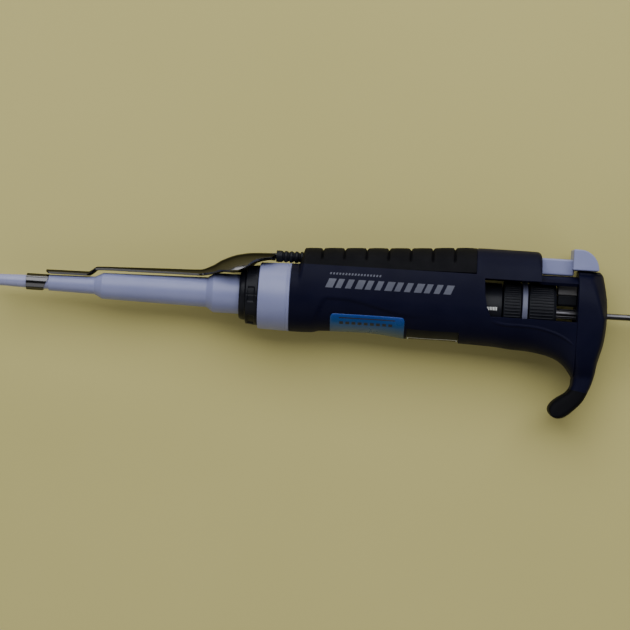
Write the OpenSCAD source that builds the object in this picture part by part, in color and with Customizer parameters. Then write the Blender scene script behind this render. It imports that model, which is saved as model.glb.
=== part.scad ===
// Adjustable air-displacement micropipette, lying on its side.
// The pipette axis runs along X: tip cone towards -X, push button towards +X.
// The finger hook points to -Y, the ejector is on the +Y side, and one flank of the handle rests at Z = 0.
// Inside the modules X is the station s, counted from the end of the tip cone, and Y and Z are counted
// from the pipette axis. place() moves every piece to the final origin.

/* [Whole pipette] */
// Length from the end of the tip cone to the top of the push button
total_l = 250; // [249:0.5:254]
// Half of the handle's depth, from the axis to each flat flank
half_depth = 12; // [12:0.1:12.5]

/* [Tip cone and shaft] */
// Radius of the cylindrical land that a disposable tip seals on
cone_land_r = 2.0; // [1.9:0.05:2.05]
// Radius of the tip cone where the ejector collar starts
cone_root_r = 2.25; // [2.2:0.05:2.3]
// Radius of the liquid channel
channel_r = 0.6; // [0.4:0.1:0.8]
// Station where the thin part of the shaft starts
shaft_s = 21; // [21:0.5:21.5]
// Radius of the thin part of the shaft
shaft_thin_r = 2.9; // [2.85:0.05:3]
// Radius of the upper part of the shaft
shaft_mid_r = 4.8; // [4.7:0.1:4.9]
// Radius of the wide head of the shaft
shaft_head_r = 6.8; // [6.7:0.05:6.85]

/* [Piston] */
// Radius of the piston
piston_r = 2.2; // [2.1:0.05:2.2]
// Station of the piston's lower end at rest
piston_s = 42; // [41.5:0.5:43]

/* [Handle] */
// Station where the handle starts, above the light ring
handle_s = 105; // [105:0.5:105.5]
// Station of the joint between the handle and the top cap
cap_s = 203; // [203:0.1:203.2]
// Radius of the bore for the volume mechanism
bore_r = 9.65; // [9.6:0.05:9.7]
// Thickness of the rubber grip pad
pad_t = 1.6; // [1.2:0.1:1.8]
// Number of cross grooves in the grip pad
pad_grooves = 7; // [5:1:8]

/* [Volume setting] */
// Radius of the thumbwheel
wheel_r = 10.3; // [10:0.1:10.4]
// Number of knurls round the thumbwheel
wheel_knurls = 60; // [40:2:72]
// Radius of the counter drums
drum_r = 8.6; // [8.4:0.1:8.7]

/* [Ejector] */
// Distance from the pipette axis to the ejector rod's axis
ejector_y = 13.9; // [13.8:0.1:14]
// Thickness of the bright metal arm
arm_t = 0.8; // [0.6:0.1:0.9]

/* [Hidden] */
$fn = 48;
e = 0.2;                     // thickness of the slices that a hull joins
gap = 0.05;                  // running clearance on a radius

// Outer reach across the axis, for the final origin
reach_back = 22.2;           // top of the ejector's thumb pad
reach_front = 35.9;          // end of the finger hook

// Stations along the axis
collar_s = [13.3, 21];       // ejector collar
seal_s = 50;                 // lower face of the piston seal
spring_s = [56.1, 82.9];     // main spring
head_s = [83, 86.5];         // piston head
nut_s = [87.5, 94];          // connecting nut
ring_s = [94.1, handle_s - e - 0.02]; // light ring
blowout_s = [96, 107];       // blow-out spring
collar_stop_s = [124, 125.8];// stop collar on the rod
washer_s = [126, 127.3];     // thrust washer
thread_s = [127.5, 149];     // threaded part of the spindle
lead_s = [135, 142];         // lead nut
counter_s = [143, 166];      // counter, with both end plates
drum_s = [146.8, 152.4, 158];// hundreds, tens and units drum
drum_w = 5;                  // width of a drum
window_s = [171, cap_s];     // open wheel window
index_s = [171.3, 177.4];    // index ring
lock_s = [177.8, 184];       // lock ring
plate_s = [184.3, 186.1];    // washer beside the thumbwheel
wheel_s = [186.5, 195.9];    // thumbwheel
notch_s = 190.4;             // shoulder at the back, where the ejector button comes out
cap_top_s = 213.6;           // top of the cap
button_s = 230.6;            // lower edge of the push button

// Radii of the parts that run on each other
rod_r = 1.05;
spindle_bore_r = 1.2;
thread_r = 3.2;
spline_r = 1.8;
sleeve_r = 4.2;
tube_r = 5.3;
pocket_r = 10.9;
pinion_d = 10.1;             // distance from the axis to the pinion axle
pinion_a = 127;              // its direction, from the front towards the resting flank
rod_e_r = 1.3;               // ejector rod
bolt_r = 2.0;                // adjusting bolt
bolt_s = [99.2, 108.6];

screw_y = -12.3;             // cap screws, across the axis
screw_z = 3.6;

// Handle outline: station, reach to the front, reach to the back
span_a = [handle_s, 11.7, 11.7];
span_b = [109, 11.6, 11.7];
span_c = [109, 11.6, 17.3];
span_d = [134, 11.3, 18.7];
span_e = [166, 12.4, 20.8];
span_f = [notch_s, 14, 20.7];
span_g = [notch_s, 14, 12.9];
span_h = [cap_s, 14.4, 12.9];
crown_span = [209.5, 14, 14.5];
pad_s = [109, 168];
core_a = [pad_s[0], 10.8, span_c[2]];     // body under the grip pad
core_b = [pad_s[1] + 1, 10.8, span_e[2]];
pad_y = 11.7;                // lower edge of the grip pad on both flanks
label_t = 0.35;              // label's thickness at the front

// Ejector arm: station, outer radius
arm_path = [[20, 3.75], [34.6, 3.9], [37.7, 5.75], [73.2, 6.9], [77.3, 8.4], [81.3, 10.9], [86.7, 13],
  [91.8, 13.8], [98.7, 14.1]];
// Ejector arm: station, half width
arm_width = [[20, 2.2], [36, 2.3], [74, 4.2], [77, 5.4], [80.5, 7.5], [84.5, 9.8], [87.5, 10.6], [89, 10.4],
  [92.8, 7.7], [95, 6.9], [98.7, 6]];

// Finger hook, from the inner curve round the end to the outer curve
hook_path = [[203.1, -22.4], [202.8, -24.8], [201.3, -27], [198.8, -28.7], [196.5, -30.6], [195.6, -33],
  [197.1, -35.2], [199.9, -35.9], [203, -34], [206.6, -30.2], [209.1, -25], [210.5, -20],
  [211.7, -15], [212.9, -9.5], [213.2, -6]];
hook_half = 7;               // half width of the hook
hook_split_y = -26;          // where the softer end of the hook starts

// ---- helpers ----

module place() {
  translate([-total_l / 2, (reach_front - reach_back) / 2, half_depth]) children();
}

// a solid of revolution about the pipette axis, from points [radius, station]
module turned(profile, y = 0, z = 0) {
  translate([0, y, z]) rotate([0, 90, 0]) rotate_extrude() polygon(profile);
}

module bar(s, r, y = 0, z = 0) {
  translate([s[0], y, z]) rotate([0, 90, 0]) cylinder(h = s[1] - s[0], r = r);
}

module ring(s, ro, ri, y = 0, z = 0) {
  turned([[ri, s[0]], [ro, s[0]], [ro, s[1]], [ri, s[1]]], y, z);
}

module block(s, y, z) {
  translate([s[0], y[0], z[0]]) cube([s[1] - s[0], y[1] - y[0], z[1] - z[0]]);
}

// a bar whose section is a cog with v-shaped teeth
module cog(s, r, depth, teeth, y = 0, z = 0) {
  pts = [for (i = [0 : 2 * teeth - 1])
    let (a = 180 * i / teeth, q = r - depth * (i % 2)) [q * cos(a), q * sin(a)]];
  translate([s[0], y, z]) rotate([0, 90, 0]) linear_extrude(s[1] - s[0]) polygon(pts);
}

// smooth curve through the points p, n steps on each stretch
function curve_at(p, i, t) =
  let (m = len(p) - 1, a = p[max(i - 1, 0)], b = p[i], c = p[i + 1], d = p[min(i + 2, m)])
  0.5 * (2 * b + (c - a) * t + (2 * a - 5 * b + 4 * c - d) * t * t + (3 * b - a - 3 * c + d) * t * t * t);
function curve(p, n) = [for (i = [0 : len(p) - 2], k = [0 : n - 1]) curve_at(p, i, k / n)];

// slice of the handle at one span, drawn in by the inset all round the back
module slice(span, inset = 0) {
  rf = min(span[1], half_depth) - 0.2;
  rb = 8.5 - inset;
  $fn = 36;
  for (z = [-1, 1]) {
    bar([span[0] - e, span[0]], rf, rf - span[1], z * (half_depth - rf));
    bar([span[0] - e, span[0]], rb, span[2] - inset - rb, z * (half_depth - inset - rb));
  }
}

module span_hull(a, b, inset = 0) {
  hull() {
    slice(a, inset);
    slice(b, inset);
  }
}

// wire coil along X between two stations
module coil(s, r, wire, turns, y = 0) {
  sides = 6;
  steps = 16;
  n = turns * steps;
  rise = (s[1] - s[0] - 2 * wire) / n;
  pts = [for (i = [0 : n], j = [0 : sides - 1])
    let (a = 360 * i / steps, b = 360 * j / sides, q = r - wire + wire * cos(b))
      [s[0] + wire + rise * i + wire * sin(b), y + q * cos(a), q * sin(a)]];
  walls = [for (i = [0 : n - 1], j = [0 : sides - 1])
    let (k = (j + 1) % sides) [i * sides + j, (i + 1) * sides + j, (i + 1) * sides + k, i * sides + k]];
  start = [[for (j = [0 : sides - 1]) j]];
  end = [[for (j = [0 : sides - 1]) n * sides + sides - 1 - j]];
  polyhedron(pts, concat(walls, start, end), convexity = 10);
}

// ---- shaft ----

module tip_cone() {
  color("lavender") turned([[channel_r, 0], [cone_land_r - 0.3, 0], [cone_land_r, 0.8],
    [cone_land_r, 5], [cone_root_r, collar_s[0]], [cone_root_r, shaft_s],
    [cone_root_r - gap, shaft_s], [cone_root_r - gap, 26], [channel_r, 26]]);
}

module shaft() {
  color("lightsteelblue") turned([[piston_r + gap, shaft_s], [shaft_thin_r - 0.15, shaft_s],
    [shaft_thin_r + 0.15, 37], [shaft_mid_r - 0.3, 40], [shaft_mid_r + 0.35, 76],
    [shaft_head_r, 78.4], [shaft_head_r, 91], [7.6, 91], [7.6, 94], [5.6, 94], [5.6, 79],
    [3.6, 77], [3.6, seal_s], [piston_r + gap, seal_s]]);
}

module piston_seal() {
  color("white") ring([seal_s, seal_s + 2.5], 3.58, piston_r + gap);
}

module seal_o_ring() {
  color("dimgray") translate([seal_s + 3.2, 0, 0]) rotate([0, 90, 0]) rotate_extrude()
    translate([2.93, 0]) circle(r = 0.64);
}

module seal_retainer() {
  color("goldenrod") ring([seal_s + 4, spring_s[0] - 0.05], 3.58, 2.4);
}

module connecting_nut() {
  color("black") turned([[shaft_head_r + gap, nut_s[0]], [8.2, nut_s[0]], [8.8, nut_s[0] + 2],
    [9.9, nut_s[0] + 2.2], [10.4, nut_s[1]], [7.65, nut_s[1]], [7.65, 90.9], [shaft_head_r + gap, 90.9]]);
}

module handle_ring() {
  color("lightsteelblue") turned([[6, ring_s[0]], [11.4, ring_s[0]], [11.75, ring_s[1]],
    [9.55, ring_s[1]], [9.55, ring_s[1] + 4], [8.4, ring_s[1] + 4], [8.4, 96], [6, 96]]);
}

module spring_seat() {
  color("goldenrod") ring([94.2, 95.9], 5.9, 1.6);
}

// ---- piston and plunger ----

module piston() {
  color("gainsboro") bar([piston_s, head_s[0]], piston_r);
}

module piston_head() {
  color("dimgray") turned([[0, head_s[0]], [3.4, head_s[0]], [3.4, head_s[1]], [rod_r + gap, head_s[1]],
    [rod_r + gap, head_s[0] + 1.5], [0, head_s[0] + 1.5]]);
}

module plunger_rod() {
  color("silver") bar([head_s[0] + 1.5, button_s + 4], rod_r);
}

module stop_collar() {
  color("goldenrod") ring(collar_stop_s, 4, rod_r);
}

module thrust_washer() {
  color("white") ring(washer_s, 4.5, rod_r + 0.2);
}

module push_button() {
  color("midnightblue") turned([[rod_r, button_s], [3.4, button_s], [3.9, button_s + 0.6],
    [4.3, button_s + 11], [6.6, button_s + 15.4], [6.8, button_s + 17], [5.6, button_s + 17],
    [5.6, button_s + 16.2], [0, button_s + 16.2], [0, button_s + 4], [rod_r, button_s + 4]]);
}

module button_cap() {
  color("lightsteelblue") turned([[0, button_s + 16.25], [5.55, button_s + 16.25],
    [5.55, button_s + 18], [4.6, total_l - 0.35], [0, total_l]]);
}

module blowout_ring() {
  color("goldenrod") ring([blowout_s[1] + 0.1, blowout_s[1] + 1.6], 7.2, 1.4);
}

module main_spring() {
  color("silver") coil(spring_s, 3.35, 0.3, 11);
}

module blowout_spring() {
  color("silver") coil(blowout_s, 5.6, 0.45, 5);
}

// ---- volume setting ----

module lead_nut() {
  color("goldenrod") ring(lead_s, bore_r - 0.05, thread_r + 0.08);
}

module spindle() {
  color("silver") union() {
    ring([thread_s[0], thread_s[1] + 3], thread_r - 0.3, spindle_bore_r);
    for (s = [thread_s[0] : 1.2 : thread_s[1] + 2]) {
      ring([s, s + 0.6], thread_r, spindle_bore_r);
    }
    difference() {
      cog([thread_s[1], 203.2], spline_r, 0.25, 10);
      bar([thread_s[1] - 1, 204], spindle_bore_r);
    }
  }
}

module drive_sleeve() {
  color("black") turned([[thread_r + 0.15, 145], [sleeve_r, 145], [sleeve_r, wheel_s[0] + 2],
    [spline_r + 0.1, wheel_s[0] + 2], [spline_r + 0.1, 160], [thread_r + 0.15, 160]]);
}

module thumbwheel() {
  color("black") difference() {
    union() {
      cog([wheel_s[0] + 0.5, wheel_s[1] - 0.7], wheel_r, 0.35, wheel_knurls);
      turned([[0, wheel_s[0]], [wheel_r - 0.5, wheel_s[0]], [wheel_r - 0.5, wheel_s[1] - 0.4],
        [wheel_r - 1, wheel_s[1]], [0, wheel_s[1]]]);
    }
    bar([wheel_s[0] - 1, wheel_s[0] + 2], sleeve_r);
    bar([wheel_s[0], wheel_s[1] + 1], spline_r + 0.1);
  }
}

// a number drum with a toothed rim on the side that faces the next pinion
module drum(s, ri) {
  difference() {
    union() {
      bar([s, s + drum_w - 1], drum_r);
      cog([s + drum_w - 1, s + drum_w], drum_r - 0.1, 0.5, 20);
    }
    bar([s - 1, s + drum_w + 1], ri);
  }
}

module units_drum() {
  color("white") drum(drum_s[2], sleeve_r);
}

module tens_drum() {
  color("white") drum(drum_s[1], tube_r + 0.08);
}

module hundreds_drum() {
  color("white") drum(drum_s[0], tube_r + 0.08);
}

module at_pinion_axle() {
  translate([0, -pinion_d * cos(pinion_a), -pinion_d * sin(pinion_a)]) children();
}

module pinion(s) {
  at_pinion_axle() difference() {
    cog([s, s + 2], 1.3, 0.4, 8);
    bar([s - 1, s + 3], 0.55);
  }
}

module units_pinion() {
  color("ivory") pinion(drum_s[2] - 1.3);
}

module tens_pinion() {
  color("ivory") pinion(drum_s[1] - 1.3);
}

module pinion_axle() {
  color("silver") at_pinion_axle() bar([counter_s[0] + 0.2, counter_s[1] - 0.2], 0.5);
}

module counter_plate(s) {
  difference() {
    union() {
      bar(s, bore_r - 0.05);
      at_pinion_axle() bar(s, 1.7);
    }
    bar([s[0] - 1, s[1] + 1], sleeve_r + 0.1);
    at_pinion_axle() bar([s[0] - 1, s[1] + 1], 0.5);
  }
}

module counter_frame() {
  color("dimgray") union() {
    counter_plate([counter_s[0], 145.5]);
    ring([145.4, 157.5], tube_r, sleeve_r + 0.1);
  }
}

module counter_end_plate() {
  color("dimgray") counter_plate([163.6, counter_s[1]]);
}

module counter_mask() {
  color("black") difference() {
    ring([145.6, 163.5], 9.55, 8.9);
    block([145, 164], [0, 11], [-11, 11]);
    block([146.6, 163.2], [-11, 0], [-2.9, 2.9]);
  }
}

module counter_window() {
  color("lightblue") intersection() {
    ring([145.5, 163.3], 12.05, 10.3);
    block([145, 164], [-13, 0], [-8.15, 8.15]);
  }
}

module sleeve_bearing() {
  color("goldenrod") ring([counter_s[1] + 0.1, window_s[0]], bore_r - 0.05, sleeve_r + 0.08);
}

module index_ring() {
  color("dimgray") turned([[sleeve_r + 0.2, index_s[0]], [9.2, index_s[0]], [9.2, index_s[1]],
    [6.1, index_s[1]], [6.1, plate_s[0]], [sleeve_r + 0.2, plate_s[0]]]);
}

module lock_ring() {
  color("black") difference() {
    union() {
      cog([lock_s[0] + 0.4, lock_s[1] - 0.4], wheel_r - 0.2, 0.35, wheel_knurls);
      bar(lock_s, wheel_r - 0.7);
    }
    bar([lock_s[0] - 1, lock_s[1] + 1], 6.2);
  }
}

module wheel_washer() {
  color("lightsteelblue") ring(plate_s, wheel_r, sleeve_r + 0.2);
}

module click_pawl() {
  color("black") union() {
    block([196.4, cap_s], [3, 6.3], [-4, 4]);
    for (z = [-3 : 2 : 3]) {
      block([196.8, cap_s], [2.6, 3], [z - 0.4, z + 0.4]);
    }
  }
}

module rod_guide_block() {
  color("lightsteelblue") block([196.4, cap_s], [6.4, 9.7], [-4, 4]);
}

// ---- handle ----

module flare() {
  translate([0, 0, -7]) linear_extrude(14) polygon([[184, -8], [184, -13.2], [190, -14], [195, -14.9],
    [198.4, -16.5], [200.8, -18.6], [202.3, -20.6], [cap_s, -22.4], [cap_s, -8]]);
}

module handle_shell() {
  color("midnightblue") difference() {
    union() {
      span_hull(span_a, span_b);
      difference() {
        union() {
          span_hull(span_c, span_d);
          span_hull(span_d, span_e);
          span_hull(span_e, span_f);
        }
        block(pad_s - [1, 0], [pad_y, 30], [-15, 15]);
      }
      span_hull(core_a, core_b, pad_t);
      span_hull(span_g, span_h);
      flare();
    }
    bar([handle_s - 1, window_s[0] + 1], bore_r);
    at_pinion_axle() bar([counter_s[0] - 0.5, counter_s[1] + 0.2], 1.75);
    bar([window_s[0], cap_s + 1], pocket_r);
    // wheel window, open on both flanks
    translate([0, 0, -20]) linear_extrude(40) polygon([[170.9, 9.6], [172.1, 0.4], [173.7, -3.3],
      [cap_s + 1, -2.7], [cap_s + 1, 10.4], [171.6, 10.4]]);
    block([145.4, 163.4], [-20, -4], [-8.2, 8.2]);
    bar([106, notch_s + 2], rod_e_r + 0.1, ejector_y);
    bar([140, 178], 2.6, ejector_y);
    block([174, notch_s + 3], [12.9, 18.9], [-3.7, 3.7]);
    for (z = [-1, 1]) {
      bar([cap_s - 6, cap_s + 1], 0.8, screw_y, z * screw_z);
    }
  }
}

module grip_pad() {
  color("black") difference() {
    intersection() {
      union() {
        span_hull(span_c, span_d);
        span_hull(span_d, [pad_s[1], span_e[1], span_e[2]]);
      }
      block([pad_s[0] - 1, pad_s[1]], [pad_y, 30], [-15, 15]);
    }
    span_hull(core_a - [1, 0, 0], core_b, pad_t);
    for (i = [0 : pad_grooves - 1]) {
      block([114.9, 115.7] + [7.55 * i, 7.55 * i], [pad_y + 2.5, 30], [-15, 15]);
      }
  }
}

// body surface from the front ring to the window, raised at the front
module raised(h) {
  lift = [0, h, 0];
  span_hull(span_c + lift, span_d + lift);
  span_hull(span_d + lift, span_e + lift);
}

module label() {
  color("steelblue") intersection() {
    difference() {
      raised(label_t);
      raised(0.03);
    }
    block([119.2, 144.6], [-13, -5], [-14, 14]);
  }
}

// ---- cap and hook ----

module hook_outline() {
  polygon(concat([[cap_s + e, -6]], [[cap_s + e, -22.4]], curve(hook_path, 4)));
}

module top_cap() {
  color("midnightblue") difference() {
    union() {
      span_hull([cap_s + e, 14.4, 14.8], crown_span);
      hull() {
        slice(crown_span);
        for (y = [-4, 4.5], z = [-3, 3]) {
          bar([cap_top_s - e, cap_top_s], 6.5, y, z);
        }
      }
      translate([0, 0, -hook_half]) linear_extrude(2 * hook_half) difference() {
        hook_outline();
        translate([190, -40]) square([30, 40 + hook_split_y]);
      }
    }
    bar([cap_s - 1, 211], 2.35);
    bar([210.5, cap_top_s + 1], 2.6);
    for (z = [-1, 1]) {
      bar([cap_s - 1, cap_top_s], 0.85, screw_y, z * screw_z);
      bar([209.6, cap_top_s + 1], 1.7, screw_y, z * screw_z);
    }
  }
}

module hook_pad() {
  color("black") translate([0, 0, -hook_half]) linear_extrude(2 * hook_half) intersection() {
    hook_outline();
    translate([190, -40]) square([30, 40 + hook_split_y - gap]);
  }
}

module cap_screws() {
  color("silver") for (z = [-1, 1]) {
    difference() {
      turned([[0, cap_s - 5.5], [0.75, cap_s - 5], [0.75, 209.7], [1.6, 209.7], [1.6, 211],
        [0, 211]], screw_y, z * screw_z);
      block([210.4, 212], [-14, -10], [z * screw_z - 0.25, z * screw_z + 0.25]);
    }
  }
}

module rod_bushing() {
  color("dimgray") ring([211.05, cap_top_s], 2.55, rod_r + gap);
}

// ---- ejector ----

module ejector_button() {
  color("lightsteelblue") union() {
    difference() {
      block([185, 201.5], [13.05, 18.7], [-3.5, 3.5]);
      block([184, 186.5], [10, 20], [-rod_e_r, rod_e_r]);
    }
    translate([0, 0, -7.5]) linear_extrude(15) polygon(concat([[200.8, 15.1]], [[209.8, 15.1]],
      [for (a = [6 : 12 : 90]) [203 + 6.75 * cos(a), 15.1 + 7.1 * sin(a)]], [[200.8, reach_back]]));
  }
}

module ejector_rod() {
  color("silver") union() {
    bar([103, 186], rod_e_r, ejector_y);
    ring([173, 174.5], 2.4, rod_e_r, ejector_y);
  }
}

module ejector_spring() {
  color("silver") coil([141, 172.9], 2.35, 0.3, 13, ejector_y);
}

module adjusting_bolt() {
  profile = concat([[1.1, bolt_s[0]], [bolt_r, bolt_s[0]], [bolt_r, 101.2]],
    [for (i = [0 : 3]) each [[bolt_r - 0.5, 101.7 + 1.85 * i], [bolt_r, 102.2 + 1.85 * i],
      [bolt_r, 102.8 + 1.85 * i]]],
    [[1.6, bolt_s[1]], [rod_e_r, bolt_s[1]], [rod_e_r, 102.9], [1.1, 102.9]]);
  color("black") turned(profile, ejector_y);
}

module ejector_collar() {
  color("silver") difference() {
    ring(collar_s, 2.85, cone_root_r + 0.2);
    translate([18.4, -4, -5]) rotate([0, 0, -25]) translate([0, -5, 0]) cube([9, 20, 10]);
  }
}

module ejector_arm() {
  outer = [for (p = arm_path) [p[1], p[0]]];
  inner = [for (i = [len(arm_path) - 1 : -1 : 0]) [arm_path[i][1] - arm_t, arm_path[i][0]]];
  half = [for (p = arm_width) [p[0], p[1]]];
  other = [for (i = [len(arm_width) - 1 : -1 : 0]) [arm_width[i][0], -arm_width[i][1]]];
  color("silver") union() {
    intersection() {
      rotate([0, 90, 0]) rotate([0, 0, 10]) rotate_extrude(angle = 160) polygon(concat(outer, inner));
      translate([0, 20, 0]) rotate([90, 0, 0]) linear_extrude(20) polygon(concat(half, other));
    }
    block([97.6, 99], [12.2, 15], [-1.6, 1.6]);
  }
}

module arm_stud() {
  color("silver") bar([99, 102.8], 1.05, ejector_y);
}

place() tip_cone();
place() shaft();
place() piston_seal();
place() seal_o_ring();
place() seal_retainer();
place() spring_seat();
place() connecting_nut();
place() handle_ring();
place() handle_shell();
place() grip_pad();
place() label();
place() counter_window();
place() counter_frame();
place() counter_mask();
place() counter_end_plate();
place() pinion_axle();
place() sleeve_bearing();
place() lead_nut();
place() index_ring();
place() wheel_washer();
place() click_pawl();
place() rod_guide_block();
place() top_cap();
place() hook_pad();
place() cap_screws();
place() rod_bushing();
place() thumbwheel();
place() drive_sleeve();
place() units_drum();
place() lock_ring();
place() tens_drum();
place() hundreds_drum();
place() units_pinion();
place() tens_pinion();
place() thrust_washer();
place() spindle();
place() piston();
place() piston_head();
place() plunger_rod();
place() stop_collar();
place() push_button();
place() button_cap();
place() blowout_ring();
place() ejector_button();
place() ejector_rod();
place() adjusting_bolt();
place() ejector_arm();
place() ejector_collar();
place() arm_stud();
place() main_spring();
place() blowout_spring();
place() ejector_spring();
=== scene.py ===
# %% [markdown]
# # An adjustable micropipette
# This lesson dresses a finished, measured pipette in its real shapes and finishes. The measured model is
# loaded first and stays the master: every piece below is placed from it and rides on one of its bodies.

# %% Load the measured pipette
import math
import bmesh
import bpy
import numpy as np
from mathutils import Matrix, Vector


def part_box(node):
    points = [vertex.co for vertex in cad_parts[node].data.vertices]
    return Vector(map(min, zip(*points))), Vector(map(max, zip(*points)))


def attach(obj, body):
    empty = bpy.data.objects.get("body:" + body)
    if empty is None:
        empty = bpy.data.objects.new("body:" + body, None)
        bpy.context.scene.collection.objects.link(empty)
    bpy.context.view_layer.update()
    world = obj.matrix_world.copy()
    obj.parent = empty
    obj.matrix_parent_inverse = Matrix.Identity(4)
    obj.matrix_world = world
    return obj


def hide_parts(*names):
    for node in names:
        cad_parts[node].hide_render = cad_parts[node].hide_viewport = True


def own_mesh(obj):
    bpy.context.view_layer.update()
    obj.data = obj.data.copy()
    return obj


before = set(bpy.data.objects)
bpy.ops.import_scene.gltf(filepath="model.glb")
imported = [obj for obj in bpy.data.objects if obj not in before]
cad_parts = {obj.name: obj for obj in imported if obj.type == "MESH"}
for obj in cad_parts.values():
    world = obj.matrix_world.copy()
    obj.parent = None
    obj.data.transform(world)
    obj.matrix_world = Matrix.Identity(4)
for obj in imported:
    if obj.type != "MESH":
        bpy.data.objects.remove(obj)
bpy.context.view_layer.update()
print("pieces in the frame:", len(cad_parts))

# %% [markdown]
# A pipette is a stack of turned parts on one axis, so it is easiest to think in stations: the distance in
# millimetres from the end of the tip cone. Here the axis and the first station are read off the frame, and
# one function turns (station, y, z) into the frame's metres.

# %% Stations along the axis
MM = 0.001
rod_lo, rod_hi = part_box("plunger_rod")
START = np.array([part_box("tip_cone")[0].x, (rod_lo.y + rod_hi.y) / 2, (rod_lo.z + rod_hi.z) / 2])
ej_lo, ej_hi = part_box("ejector_rod")
EJECTOR_Y = (ej_lo.y + ej_hi.y) / 2 / MM - START[1] / MM


def to_frame(points):
    return np.asarray(points, float) * MM + START


def span(node):
    """First and last station of a piece of the frame."""
    lo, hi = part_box(node)
    return (lo.x - START[0]) / MM, (hi.x - START[0]) / MM


print("total length in mm:", round(span("button_cap")[1], 2), "ejector axis at y =", round(EJECTOR_Y, 2))

# %% [markdown]
# The camera looks straight down on the pipette from about 80 centimetres, a little to the button's side,
# and is rolled by a few degrees, so the pipette runs slightly downhill across the view.

# %% Camera
ROLL = math.radians(3.51)
FIELD = 217.4          # millimetres across the view at the pipette's axis
DISTANCE = 800.0
aim = Vector(to_frame([113.7, -5.6, 0]))
lean = math.radians(2.0)
right = Vector((math.cos(ROLL), math.sin(ROLL), 0))
up = Vector((-math.sin(ROLL), math.cos(ROLL), 0))
back = (Vector((0, 0, 1)) * math.cos(lean) + right * math.sin(lean)).normalized()
right = up.cross(back).normalized()
camera_data = bpy.data.cameras.new("bench_camera")
camera_data.sensor_width = 36
camera_data.lens = 36 * DISTANCE / FIELD
camera = bpy.data.objects.new("bench_camera", camera_data)
turn = Matrix((right, up, back)).transposed().to_4x4()
camera.matrix_world = Matrix.Translation(aim + back * DISTANCE * MM) @ turn
bpy.context.scene.collection.objects.link(camera)
bpy.context.scene.camera = camera
print("camera height in mm:", round(camera.location.z / MM))

# %% [markdown]
# The bench is a plain straw-coloured floor, lit by a big soft lamp from the ejector's side, as a window
# would light it, and by weak ones that open up the shadows. A low strip behind the ejector's side gives the
# bent metal its highlight.

# %% Bench and lamps
floor_mesh = bpy.data.meshes.new("bench")
side = 3.0
floor_mesh.from_pydata([(-side, -side, 0), (side, -side, 0), (side, side, 0), (-side, side, 0)], [],
                       [(0, 1, 2, 3)])
floor = bpy.data.objects.new("bench", floor_mesh)
bpy.context.scene.collection.objects.link(floor)


def lamp(name, place, size, power, colour=(1, 1, 1)):
    data = bpy.data.lights.new(name, "AREA")
    data.shape = "RECTANGLE"
    data.size, data.size_y = size
    data.energy = power
    data.color = colour
    thing = bpy.data.objects.new(name, data)
    thing.location = place
    thing.rotation_euler = (-Vector(place)).to_track_quat("-Z", "Y").to_euler()
    bpy.context.scene.collection.objects.link(thing)


lamp("window_light", (0.05, 0.62, 0.80), (1.6, 0.9), 15.0, (0.95, 0.97, 1.0))
lamp("fill_light", (-0.55, -0.65, 0.65), (1.1, 1.1), 3.4)
lamp("horizon_light", (-0.25, 1.1, 0.20), (1.3, 0.22), 4.0, (0.97, 0.98, 1.0))
lamp("button_light", (0.8, -0.15, 0.45), (0.8, 0.8), 1.4)
world = bpy.data.worlds.new("soft_room")
world.use_nodes = True
world.node_tree.nodes["Background"].inputs["Color"].default_value = (0.86, 0.88, 0.92, 1)
world.node_tree.nodes["Background"].inputs["Strength"].default_value = 0.05
bpy.context.scene.world = world

# %% [markdown]
# ## Finishes
# Moulded plastic is never one flat colour: it has a fine spark-eroded grain, faint flow clouds and a sheen
# that changes where hands have polished it. One function makes such a finish from a colour, a roughness and
# the size of its grain, all on object coordinates, so that the grain stays put when a part moves.

# %% A function for finishes
def add(tree, kind, **values):
    """A new node with some inputs set; an underscore in a name stands for a space."""
    node = tree.nodes.new(kind)
    for label, value in values.items():
        node.inputs[label.replace("_", " ")].default_value = value
    return node


def link(tree, *rows):
    """Join nodes; each row says node, output, node, input."""
    for a, out, b, inp in rows:
        tree.links.new(a.outputs[out], b.inputs[inp])


def ramp(tree, source, out, low, high):
    node = add(tree, "ShaderNodeMapRange", From_Min=0.3, From_Max=0.7, To_Min=low, To_Max=high)
    link(tree, (source, out, node, "Value"))
    return node


def new_material(name):
    """A material with its node tree and its shader."""
    material = bpy.data.materials.new(name)
    material.use_nodes = True
    return material, material.node_tree, material.node_tree.nodes["Principled BSDF"]


def set_inputs(shader, **values):
    for label, value in values.items():
        shader.inputs[label.replace("_", " ")].default_value = value


def colour_mix(tree, **settings):
    node = tree.nodes.new("ShaderNodeMix")
    node.data_type = "RGBA"
    for name, value in settings.items():
        setattr(node, name, value)
    return node


def noise(tree, coords, scale, detail=3.0, stretch=(1, 1, 1)):
    mapping = add(tree, "ShaderNodeMapping", Scale=stretch)
    node = add(tree, "ShaderNodeTexNoise", Scale=scale, Detail=detail)
    link(tree, (coords, "Object", mapping, "Vector"), (mapping, "Vector", node, "Vector"))
    return node


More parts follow.
